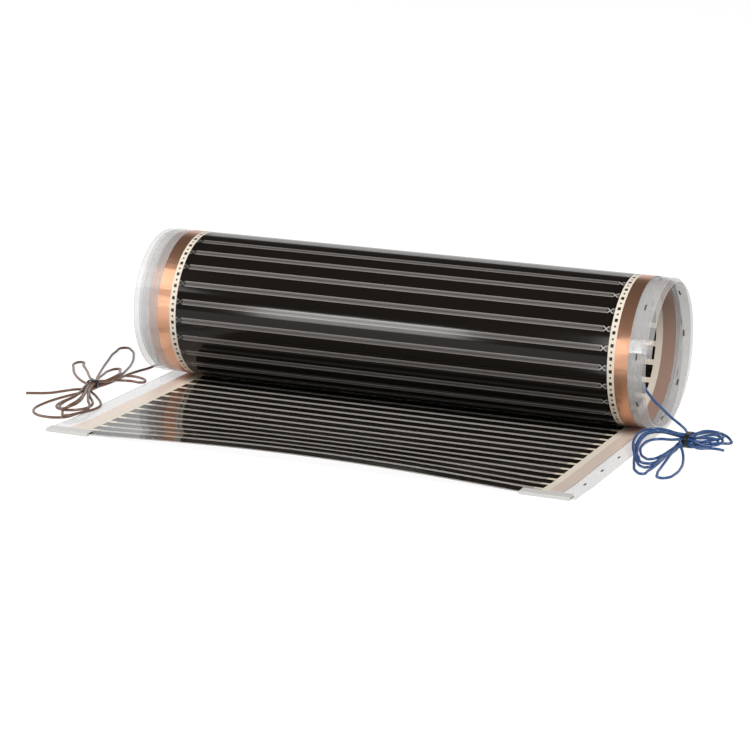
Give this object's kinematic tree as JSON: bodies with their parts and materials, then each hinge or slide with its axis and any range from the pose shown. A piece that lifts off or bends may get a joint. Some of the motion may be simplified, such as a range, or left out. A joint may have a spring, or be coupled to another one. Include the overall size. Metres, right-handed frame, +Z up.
{
  "type": "underfloor heating film",
  "caption": "Roll of printed carbon heating film with copper busbars along both edges, its end laid out flat, with two connecting leads and insulating end caps.",
  "frame": {"origin": "on the floor under the roll's axis, at the middle of the film's width, on the film's underside", "axes": "+X along the roll's axis, +Y away from the laid-out end, +Z up"},
  "size_m": [0.6681, 0.3286, 0.14],
  "materials": {
    "film": "glossy laminate",
    "cap": "white moulded",
    "brown_wire": "smooth insulation",
    "blue_wire": "smooth insulation",
    "tie": "matt"
  },
  "bodies": {
    "root": {"heating_film": "film", "end_cap_left": "cap", "end_cap_right": "cap", "brown_lead": "brown_wire", "brown_hank_rear": "brown_wire", "brown_hank_side": "brown_wire", "brown_hank_front": "brown_wire", "brown_tie": "tie", "brown_tail": "brown_wire", "blue_lead": "blue_wire", "blue_hank_left": "blue_wire", "blue_hank_front": "blue_wire", "blue_hank_right": "blue_wire", "blue_tie": "tie", "blue_tail": "blue_wire"}
  },
  "joints": []
}
